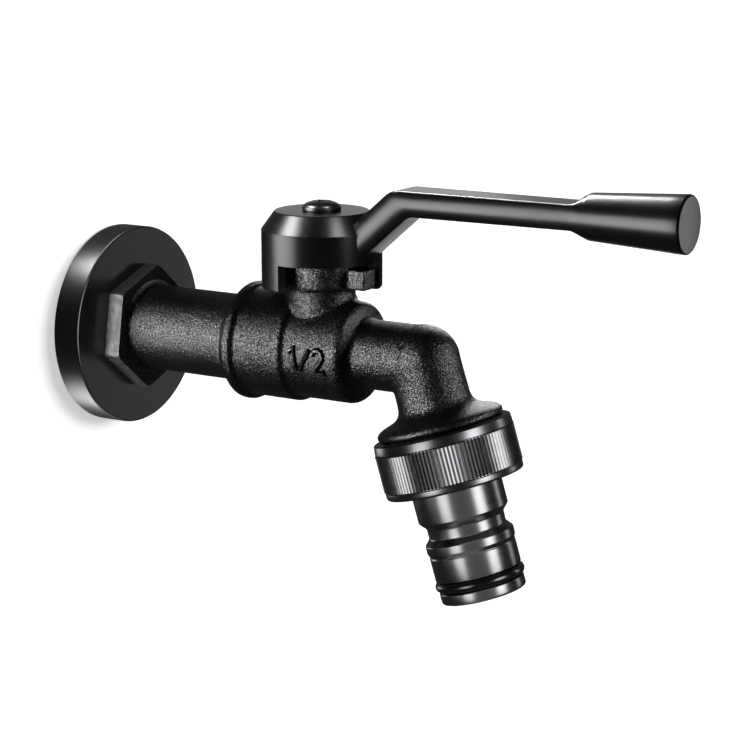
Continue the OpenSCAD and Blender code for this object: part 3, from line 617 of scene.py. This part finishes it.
def leverArm(s):
    angle = math.radians(s["slope"])
    run = np.array([math.cos(angle), math.sin(angle)])
    rise = np.array([-math.sin(angle), math.cos(angle)])
    foot = np.array([s["footU"], s["footZ"]])
    footHigh = foot + rise * s["thick"]
    lowRise, highRise = s["lowZ"] - s["footZ"], s["highZ"] - s["footZ"] - s["thick"] / math.cos(angle)
    lowBend = np.array([s["footU"] + lowRise / math.tan(angle), s["lowZ"]])
    highBend = np.array([s["footU"] + highRise / math.tan(angle), s["highZ"]])
    lowStart = lowBend - run * s["bendLow"] * math.tan(angle / 2)
    highStart = highBend - run * s["bendHigh"] * math.tan(angle / 2)
    lowMid, highMid = lowStart - rise * s["bendLow"], highStart - rise * s["bendHigh"]
    axisZ, halfEnd = (s["endLow"] + s["endHigh"]) / 2, (s["endHigh"] - s["endLow"]) / 2

    def flat(low, high):  # station of the flat arm, narrower towards the grip
        wide = np.interp((low[0] + high[0]) / 2, [s["rootU"], s["flareAt"]], [s["rootW"], s["endW"]])
        return low, high, wide, 0.0

    def upright(u, half, wide, roundness=1.0):  # station of the grip
        return (u, axisZ - half), (u, axisZ + half), wide, roundness

    stations = [(s["rootLow"], s["rootHigh"], s["rootW"], 0.0)]
    for t in np.linspace(0, 1, s["crankRows"])[:-1]:
        stations.append(flat(foot + (lowStart - foot) * t, footHigh + (highStart - footHigh) * t))
    for t in np.linspace(0, 1, s["bendRows"]):
        way = angle * (1 - t)
        face = np.array([-math.sin(way), math.cos(way)])
        stations.append(flat(lowMid + face * s["bendLow"], highMid + face * s["bendHigh"]))
    low, high = stations[-1][:2]
    lowEnd, highEnd = np.array([s["flareAt"], s["endLow"]]), np.array([s["flareAt"], s["endHigh"]])
    for t in np.linspace(0, 1, s["armRows"])[1:]:
        stations.append(flat(low + (lowEnd - low) * t, high + (highEnd - high) * t))
    for t in np.linspace(0, 1, s["flareRows"])[1:]:  # flat arm swells into the round grip
        swell = t * t * (3 - 2 * t)
        half = halfEnd + (s["gripR"] - halfEnd) * swell
        wide = s["endW"] + (s["gripR"] - s["endW"]) * swell
        u = s["flareAt"] + (s["gripAt"] - s["flareAt"]) * t
        stations.append(upright(u, half, wide, min(1.0, swell * s["swellGain"])))
    edgeAt, widen = s["gripEnd"] - s["gripEdge"], s["gripEndR"] - s["gripR"]
    for u in np.linspace(s["gripAt"], edgeAt, s["gripRows"])[1:]:
        size = s["gripR"] + widen * (u - s["gripAt"]) / (s["gripEnd"] - s["gripAt"])
        stations.append(upright(u, size, size))
    for t in np.linspace(s["edgeFrom"], math.pi / 2, s["edgeRows"]):  # rounded end
        size = s["gripEndR"] - s["gripEase"] - s["gripEdge"] * (1 - math.cos(t))
        stations.append(upright(edgeAt + s["gripEdge"] * math.sin(t), size, size))
    rings = [sweepRing(*station) for station in stations]
    return makePiece("leverArm", np.concatenate(rings), gridFaces(len(rings), len(rings[0]), closed=False))


def sector(name, inner, outer, low, high, fromAngle, toAngle, steps=40):  # angles turn from -Y towards -X
    turns = np.radians(np.linspace(fromAngle, toAngle, steps))
    corners = [(inner, low), (outer, low), (outer, high), (inner, high)]
    verts = [(-r * math.sin(t), -r * math.cos(t), z) for t in turns for r, z in corners]
    return makePiece(name, verts, gridFaces(steps, len(corners), closed=False), stemAxis)


def leverHub(s):
    hub = turnedPiece("leverHub", [
        (s["skirtR"], s["skirtZ"], s["skirtEdge"]), (s["hubR"], s["skirtZ"], s["rimEdge"]),
        (s["hubR"], s["bevelZ"], s["bevelEdge"]), (s["flatR"], s["topZ"], s["topEdge"]),
        (s["holeR"], s["topZ"]), (s["holeR"], s["floorZ"]), (s["skirtR"], s["floorZ"], s["floorEdge"])],
        stemAxis, steps=6)
    inner, outer = (s["hubR"] * share for share in s["cutR"])
    cutLow = s["skirtZ"] - s["cutSunk"]
    opening = sector("skirtCut", inner, outer, cutLow, s["cutZ"], s["cutFrom"], s["cutTo"])
    half = s["squareW"] / 2
    square = boxPiece("squareHole", (half, half, s["floorZ"] - s["squareSunk"]),
                      (half, half, s["floorZ"] + s["squareH"]), stemAxis)
    cut(hub, opening, square)
    return redressed(hub, sharp=34)


fitPiece(leverHub(leverSizes), "lever", "satin_black", leverBlack, "lever_handle")
fitPiece(leverArm(leverSizes), "lever", "satin_black", leverBlack)

# screw on the hub: low dome with a cross recess
screwSizes = dict(
    headR=4.45, headH=2.3, shankR=1.95, shankTo=-10.1, axisR=0.02, rimH=0.85, rimEdge=0.15, footBevel=0.2,
    domeIn=0.25, domeFrom=0.12, domeTo=1.5, domeRows=14, recessW=1.15, recessL=5.4, recessD=1.5,
    recessFoot=(0.55, 0.7), recessOver=0.5, turn=20.0)


def handleScrew(s):
    seat = stemAxis @ Matrix.Translation((0, 0, leverSizes["topZ"] * mm))
    shank = [(s["axisR"], s["shankTo"]), (s["shankR"], s["shankTo"]), (s["shankR"], 0.0)]
    rim = [(s["headR"] - s["footBevel"], 0.0), (s["headR"], s["footBevel"]),
           (s["headR"], s["rimH"], s["rimEdge"])]
    dome = [((s["headR"] - s["domeIn"]) * math.cos(t), s["rimH"] + (s["headH"] - s["rimH"]) * math.sin(t))
            for t in np.linspace(s["domeFrom"], s["domeTo"], s["domeRows"])]
    screw = turnedPiece("handleScrew", shank + rim + dome + [(s["axisR"], s["headH"])], seat, count=96)
    long, wide = s["recessL"] / 2, s["recessW"] / 2
    footLong, footWide = s["recessFoot"]
    for turn in (s["turn"], s["turn"] + 90):
        cut(screw, boxPiece("recess", (long * footLong, wide * footWide, s["headH"] - s["recessD"]),
                            (long, wide, s["headH"] + s["recessOver"]),
                            seat @ Matrix.Rotation(math.radians(turn), 4, "Z")))
    return redressed(screw, sharp=40)


fitPiece(handleScrew(screwSizes), "lever", "gloss_black", screwBlack, "handle_screw")
print("lever done")

# union nut with a knurled band
nutSizes = dict(
    radius=16.2, top=15.6, end=28.5, lip=26.5, bore=13.4, lipR=10.5, bandFrom=18.0, bandTo=26.9, bandR=15.75,
    footR=15.9, lead=0.4, landW=1.1, landEdge=0.15, dishW=1.3, dishZ=0.35, rimW=0.85, rimZ=0.05,
    shoulderW=0.35, shoulderZ=0.4, shoulderEdge=0.25, bandW=0.2, bandStep=0.1, fineEdge=0.12, footEdge=0.55,
    lipEdge=0.2)
knurlSizes = dict(teeth=116, toothDepth=0.40, inset=0.6, endLength=0.2, sides=8, tip=0.00008, weld=0.00001)


def unionNut(s):
    top, bore, radius, fine, step = s["top"], s["bore"], s["radius"], s["fineEdge"], s["bandStep"]
    return turnedPiece("unionNut", [
        (bore, top + s["lead"]), (bore + s["lead"], top), (bore + s["landW"], top, s["landEdge"]),
        (bore + s["dishW"], top + s["dishZ"], fine), (radius - s["rimW"], top + s["rimZ"], fine),
        (radius - s["shoulderW"], top + s["shoulderZ"], s["shoulderEdge"]),
        (radius - s["bandW"], s["bandFrom"] - step, fine), (s["bandR"], s["bandFrom"] + step),
        (s["bandR"], s["bandTo"] - step), (s["footR"], s["bandTo"] + step, fine),
        (s["footR"], s["end"], s["footEdge"]), (s["lipR"], s["end"], s["lipEdge"]), (s["lipR"], s["lip"]),
        (bore, s["lip"])], outletAxis, count=224, sharp=34)


def knurlTree(s):  # straight teeth set round a circle
    tree = bpy.data.node_groups.new("straightKnurl", "GeometryNodeTree")
    sockets = {}
    for label, kind in (("Teeth", "Int"), ("Radius", "Float"), ("Tooth radius", "Float"),
                        ("Band length", "Float"), ("End length", "Float"), ("Finish", "Material")):
        socket = tree.interface.new_socket(label, in_out="INPUT", socket_type="NodeSocket" + kind)
        sockets[label] = socket.identifier
    tree.interface.new_socket("Geometry", in_out="OUTPUT", socket_type="NodeSocketGeometry")
    given, sink = tree.nodes.new("NodeGroupInput").outputs, tree.nodes.new("NodeGroupOutput")
    rod = addNode(tree, "GeometryNodeMeshCylinder", dict(fill_type="NONE"), Vertices=s["sides"],
                  Radius=given["Tooth radius"], Depth=given["Band length"])
    tip = addNode(tree, "GeometryNodeMeshCone", dict(fill_type="NONE"), Vertices=s["sides"],
                  Radius_Top=s["tip"], Radius_Bottom=given["Tooth radius"], Depth=given["End length"])
    lift = addNode(tree, "ShaderNodeCombineXYZ", Z=math2(tree, "MULTIPLY", given["Band length"], 0.5))
    upper = addNode(tree, "GeometryNodeTransform", Geometry=tip.outputs[0], Translation=lift.outputs[0])
    drop = addNode(tree, "ShaderNodeVectorMath", dict(operation="SCALE"), Vector=lift.outputs[0], Scale=-1.0)
    lower = addNode(tree, "GeometryNodeTransform", Geometry=tip.outputs[0], Translation=drop.outputs[0],
                    Rotation=(math.pi, 0, 0))
    tooth = addNode(tree, "GeometryNodeJoinGeometry")
    for part in (rod, upper, lower):
        feed(tree, tooth, Geometry=part.outputs[0])
    flat = addNode(tree, "GeometryNodeTransform", Geometry=tooth.outputs[0],
                   Rotation=(0, 0, math.pi / s["sides"]))  # a flat crest faces out
    weld = addNode(tree, "GeometryNodeMergeByDistance", Geometry=flat.outputs[0], Distance=s["weld"])
    circle = addNode(tree, "GeometryNodeMeshCircle", Vertices=given["Teeth"], Radius=given["Radius"])
    spot = addNode(tree, "GeometryNodeInputPosition")
    turn = addNode(tree, "FunctionNodeAlignRotationToVector", dict(axis="X", pivot_axis="Z"),
                   Vector=spot.outputs[0])
    spread = addNode(tree, "GeometryNodeInstanceOnPoints", Points=circle.outputs[0], Instance=weld.outputs[0],
                     Rotation=turn.outputs[0])
    solid = addNode(tree, "GeometryNodeRealizeInstances", Geometry=spread.outputs[0])
    coat = addNode(tree, "GeometryNodeSetMaterial", Geometry=solid.outputs[0], Material=given["Finish"])
    feed(tree, sink, Geometry=coat.outputs[0])
    return tree, sockets


def knurlBand(nut, s):
    tree, sockets = knurlTree(s)
    base = placed("knurlBand", bpy.data.meshes.new("knurlBand"))
    modifier = base.modifiers.new("knurl", "NODES")
    modifier.node_group = tree
    values = {"Teeth": s["teeth"], "Radius": nut["bandR"] * mm, "Tooth radius": s["toothDepth"] * mm,
              "Band length": (nut["bandTo"] - nut["bandFrom"] - s["inset"]) * mm,
              "End length": s["endLength"] * mm, "Finish": knurlBlack}
    for label, value in values.items():
        modifier[sockets[label]] = value
    settled(base)
    base.data.transform(outletAxis @ Matrix.Translation((0, 0, (nut["bandFrom"] + nut["bandTo"]) / 2 * mm)))
    return redressed(base, sharp=30)


fitPiece(unionNut(nutSizes), "nut", "nut_black", nutBlack, "union_nut")
fitPiece(knurlBand(nutSizes, knurlSizes), "nut", "nut_black", knurlBlack)

# quick-connect nipple and its rubber ring
nippleSizes = dict(
    top=24.5, flangeT=1.9, flangeR=12.7, flangeEdge=0.2, shankR=10.0, nutEnd=28.5, shoulder=0.2,
    shoulderEdge=0.1, upperR=10.4, upperEdge=0.35, latchAt=35.4, latchR=8.95, latchEnd=39.4, latchIn=1.6,
    latchOut=1.4, latchEdge=0.6, ridgeR=10.2, ridgeEnd=43.6, ridgeFade=1.0, ridgeEdges=(0.5, 0.4),
    lowerR=9.95, stepDepth=0.12, stepUp=0.1, stepDown=0.25, stepEdge=0.12, ringAt=50.5, ringHalf=1.35,
    grooveR=7.88, grooveEdge=0.3, tipR=9.8, tipEdge=0.55, end=54.5, bore=6.5, boreEdge=0.3, ringT=2.45,
    ringR=10.36, ringRows=28)


def hoseNipple(s):
    flangeEnd = s["top"] + s["flangeT"]
    grooveFrom, grooveTo = s["ringAt"] - s["ringHalf"], s["ringAt"] + s["ringHalf"]
    return turnedPiece("hoseNipple", [
        (s["bore"], s["top"]), (s["flangeR"], s["top"], s["flangeEdge"]),
        (s["flangeR"], flangeEnd, s["flangeEdge"]), (s["shankR"], flangeEnd),
        (s["shankR"], s["nutEnd"] - s["shoulder"]),
        (s["upperR"], s["nutEnd"] + s["shoulder"], s["shoulderEdge"]),
        (s["upperR"], s["latchAt"], s["upperEdge"]),
        (s["latchR"], s["latchAt"] + s["latchIn"], s["latchEdge"]),
        (s["latchR"], s["latchEnd"], s["latchEdge"]),
        (s["ridgeR"], s["latchEnd"] + s["latchOut"], s["ridgeEdges"][0]),
        (s["ridgeR"], s["ridgeEnd"] - s["ridgeFade"], s["ridgeEdges"][1]),
        (s["lowerR"] - s["stepDepth"], s["ridgeEnd"] - s["stepUp"], s["stepEdge"]),
        (s["lowerR"], s["ridgeEnd"] + s["stepDown"], s["stepEdge"]),
        (s["lowerR"], grooveFrom, s["grooveEdge"]), (s["grooveR"], grooveFrom), (s["grooveR"], grooveTo),
        (s["tipR"], grooveTo, s["grooveEdge"]), (s["tipR"], s["end"], s["tipEdge"]),
        (s["bore"], s["end"], s["boreEdge"])], outletAxis, count=224, sharp=34)


def nippleRing(s):
    t = s["ringT"] / 2
    loop = [(s["ringR"] - t + t * math.cos(a), s["ringAt"] + t * math.sin(a))
            for a in np.linspace(0, 2 * math.pi, s["ringRows"], endpoint=False)]
    return turnedPiece("nippleRing", loop, outletAxis, count=160)


fitPiece(hoseNipple(nippleSizes), "nipple", "dark_chrome", darkChrome, "hose_nipple")
fitPiece(nippleRing(nippleSizes), "nipple", "rubber", ringRubber, "nipple_o_ring")
print("nut and nipple done")

# inner nodes keep their CAD shape
innerFinishes = dict(
    tail_seal_ring=ringRubber, rear_seat=seatPlastic, front_seat=seatPlastic, valve_ball=ballChrome,
    valve_stem=stemBrass, stem_washer=seatPlastic, stem_o_ring_lower=ringRubber,
    stem_o_ring_upper=ringRubber, outlet_washer=ringRubber)
for nodeName, finish in innerFinishes.items():
    for place in cadNodes[nodeName].material_slots:
        place.material = finish
print("inner nodes finished")

# stage: pale wall and floor, soft boxes, camera
stageLook = dict(size=4.0, wallY=0.0002, floorZ=-0.30, glow=0.53, floorGlow=0.975, mirrored=0.01,
                 paint=(0.86, 0.86, 0.86))


def stageFinish(name, look, oneSided):
    finish = bpy.data.materials.new(name)
    finish.use_nodes = True
    tree = finish.node_tree
    tree.nodes.clear()
    out = addNode(tree, "ShaderNodeOutputMaterial")
    rays = addNode(tree, "ShaderNodeLightPath").outputs
    shiny = math2(tree, "ADD", rays["Is Glossy Ray"], rays["Is Transmission Ray"])
    seen = math2(tree, "MULTIPLY", rays["Is Camera Ray"], look["glow"])
    strength = math2(tree, "ADD", seen, math2(tree, "MULTIPLY", shiny, look["mirrored"]))
    paint = addNode(tree, "ShaderNodeBsdfDiffuse", Color=(*look["paint"], 1))
    glow = addNode(tree, "ShaderNodeEmission", Strength=strength)
    last = joined(tree, "ShaderNodeAddShader", paint.outputs[0], glow.outputs[0])
    if oneSided:  # open from behind, so that the back can be looked at
        side = addNode(tree, "ShaderNodeNewGeometry")
        clear = addNode(tree, "ShaderNodeBsdfTransparent")
        last = joined(tree, "ShaderNodeMixShader", side.outputs["Backfacing"], last, clear.outputs[0])
    feed(tree, out, Surface=last)
    return finish


def stagePlane(name, corners, finish):
    mesh = bpy.data.meshes.new(name)
    mesh.from_pydata(corners, [], [[0, 1, 2, 3]])
    mesh.materials.append(finish)
    plane = placed(name, mesh)
    return plane


size, wallY, floorZ = stageLook["size"], stageLook["wallY"], stageLook["floorZ"]
wall = stagePlane("paleWall", [(-size, wallY, floorZ), (size, wallY, floorZ), (size, wallY, size),
                               (-size, wallY, size)], stageFinish("paleWall", stageLook, oneSided=True))
wall.visible_shadow = wall.visible_glossy = wall.visible_diffuse = False
stagePlane("paleFloor", [(-size, -size, floorZ), (size, -size, floorZ), (size, size, floorZ),
                         (-size, size, floorZ)],
           stageFinish("paleFloor", dict(stageLook, glow=stageLook["floorGlow"]), oneSided=False))

camLook = dict(lens=96.0, sensor=36.0, clip=(0.01, 50.0), azimuth=-59.0, elevation=13.0, distance=0.4563,
               target=(0.0, -0.07415, -0.00478))


def aimed(thing, azimuth, elevation, distance):  # looks at the target from that side
    a, e = math.radians(azimuth), math.radians(elevation)
    way = Vector((math.sin(a) * math.cos(e), -math.cos(a) * math.cos(e), math.sin(e)))
    thing.location = Vector(camLook["target"]) + way * distance
    thing.rotation_mode = "QUATERNION"
    thing.rotation_quaternion = (-way).to_track_quat("-Z", "Y")
    return thing


def studioCamera(look):
    data = bpy.data.cameras.new("studioCamera")
    data.lens, data.sensor_width = look["lens"], look["sensor"]
    data.clip_start, data.clip_end = look["clip"]
    camera = placed("studioCamera", data)
    bpy.context.scene.camera = aimed(camera, look["azimuth"], look["elevation"], look["distance"])


studioCamera(camLook)

castParts = ("bodyCasting", "inletTail", "sizeFigures", "outletThread")
hubParts = ("leverHub", "handleScrew")
armParts, flangeParts = ("leverArm",), ("flangeRing",)
nutParts = ("knurlBand",)
nippleParts = ("hoseNipple", "nippleRing", "unionNut")
softBoxes = dict(  # azimuth, elevation, distance, width, height, radiance, spread, pieces it lights
    castBox=(-116.0, 2.5, 0.80, 0.40, 0.18, 48.0, 80.0, castParts),
    castSide=(25.0, 10.0, 0.85, 0.18, 0.44, 20.0, 70.0, castParts),
    collarBack=(110.0, 18.0, 0.80, 0.22, 0.46, 5.0, 90.0, ("bodyCasting",)),
    hubBox=(-136.0, 0.0, 0.80, 0.72, 0.62, 7.6, 80.0, hubParts),
    hubSide=(-9.0, 16.0, 0.85, 0.26, 0.70, 3.0, 60.0, hubParts),
    hubTop=(-15.0, 55.0, 0.80, 0.24, 0.24, 12.0, 60.0, hubParts),
    hubBack=(121.0, 14.0, 0.80, 0.34, 0.24, 0.62, 90.0, hubParts),
    hubHigh=(-144.0, 47.0, 0.80, 0.38, 0.20, 28.0, 60.0, hubParts),
    armBox=(-121.0, -8.0, 0.80, 0.50, 0.84, 8.0, 90.0, armParts),
    armBack=(121.5, 19.2, 0.407, 0.12, 0.14, 0.85, 90.0, armParts),
    armWide=(121.0, 13.0, 0.80, 0.50, 0.40, 0.28, 90.0, armParts),
    armTop=(147.0, 54.5, 0.608, 0.30, 0.08, 66.0, 90.0, armParts),
    armLow=(109.0, -28.0, 0.60, 0.25, 0.25, 1.0, 120.0, armParts),
    gripBox=(52.0, -6.0, 0.30, 0.16, 0.16, 2.0, 60.0, armParts),
    rimHigh=(-152.0, 55.0, 0.80, 0.30, 0.24, 30.0, 80.0, flangeParts),
    rimLow=(-170.0, -52.0, 0.311, 0.14, 0.14, 8.8, 140.0, flangeParts),
    rimEdge=(-24.0, -6.0, 0.80, 0.30, 1.30, 16.0, 120.0, flangeParts),
    edgeHigh=(60.0, 80.0, 0.80, 0.50, 0.50, 8.0, 120.0, flangeParts),
    edgeLow=(80.0, -78.0, 0.28, 0.20, 0.20, 2.0, 120.0, flangeParts),
    faceBox=(57.0, -12.0, 0.60, 0.90, 0.90, 0.42, 120.0, flangeParts),
    hexBox=(-98.0, -6.0, 0.60, 0.18, 0.30, 80.0, 80.0, ("hexCollar",)),
    nutFront=(-58.0, 5.0, 0.80, 0.44, 0.40, 5.5, 80.0, nutParts),
    nutRight=(33.0, 9.4, 0.80, 0.36, 0.40, 5.0, 70.0, nutParts),
    nutLeft=(-150.0, -18.9, 0.80, 0.50, 0.40, 6.0, 70.0, nutParts),
    nippleLeft=(-97.0, -6.0, 0.80, 0.38, 0.56, 4.8, 80.0, nippleParts),
    nippleRight=(-10.0, 13.0, 0.80, 0.36, 0.56, 6.8, 80.0, nippleParts),
    nippleEdge=(50.0, 11.0, 0.80, 0.14, 0.56, 2.4, 80.0, nippleParts),
    nippleFar=(168.0, -20.5, 0.80, 0.34, 0.50, 2.4, 80.0, nippleParts),
    nippleSide=(-131.0, -15.0, 0.80, 0.62, 0.56, 0.60, 80.0, ("hoseNipple",)),
    nippleFill=(-66.0, 8.0, 0.80, 2.00, 1.60, 0.28, 180.0, ("hoseNipple",)),
    nippleHigh=(-58.0, 66.0, 0.80, 1.20, 1.00, 0.42, 180.0, ("hoseNipple",)),
    nippleLow=(-58.0, -62.0, 0.29, 0.34, 0.34, 0.42, 180.0, ("hoseNipple",)),
    wallBox=(32.0, 12.0, 1.20, 0.90, 0.60, 9.0, 180.0, ("paleWall",)))


def linked(name, pieceNames):
    group = bpy.data.collections.new(name)
    for pieceName in pieceNames:
        group.objects.link(bpy.data.objects[pieceName])
    return group


def softBox(name, azimuth, elevation, distance, width, height, radiance, spread, litPieces):
    data = bpy.data.lights.new(name, "AREA")
    data.shape, data.size, data.size_y = "RECTANGLE", width, height
    data.spread = math.radians(spread)
    half = 0.5 * data.spread
    narrowed = 1.0 - half / math.tan(half)  # keeps the radiance at any spread
    data.energy = radiance * math.pi * width * height * narrowed
    lamp = aimed(placed(name, data), azimuth, elevation, distance)
    lamp.visible_camera = False
    lamp.light_linking.receiver_collection = linked(name + "Lit", litPieces)  # kept off the rest
    return lamp


lamps = {boxName: softBox(boxName, *values) for boxName, values in softBoxes.items()}
wallShade = linked("wallShade", flangeParts)
lamps["wallBox"].light_linking.blocker_collection = wallShade  # only the flange shades the wall

worldLook = dict(ambient=0.04, front=0.012, back=0.12, way=(0.832, 0.500, 0.240), backRange=(0.55, 0.95))


def studioWorld(look):  # white to the camera, dim in mirrors and lighter behind the tap
    world = bpy.data.worlds.new("studioWorld")
    world.use_nodes = True
    tree = world.node_tree
    tree.nodes.clear()
    out = addNode(tree, "ShaderNodeOutputWorld")
    rays = addNode(tree, "ShaderNodeLightPath").outputs
    way = addNode(tree, "ShaderNodeTexCoord").outputs["Generated"]
    dot = addNode(tree, "ShaderNodeVectorMath", dict(operation="DOT_PRODUCT"))
    for socket, value in zip(dot.inputs, (way, look["way"])):
        setSocket(tree, socket, value)
    room = ramp(tree, dot.outputs["Value"], *look["backRange"], look["front"], look["back"])
    shiny = math2(tree, "MAXIMUM", rays["Is Glossy Ray"], rays["Is Transmission Ray"])
    plain = math2(tree, "MULTIPLY", math2(tree, "SUBTRACT", 1.0, shiny), look["ambient"])
    strength = math2(tree, "ADD", math2(tree, "MULTIPLY", shiny, room), plain)
    strength = math2(tree, "MAXIMUM", strength, rays["Is Camera Ray"])
    feed(tree, out, Surface=addNode(tree, "ShaderNodeBackground", Strength=strength).outputs[0])
    bpy.context.scene.world = world


studioWorld(worldLook)
bpy.context.scene.view_settings.view_transform = "Standard"
print("stage set")

bpy.context.view_layer.update()
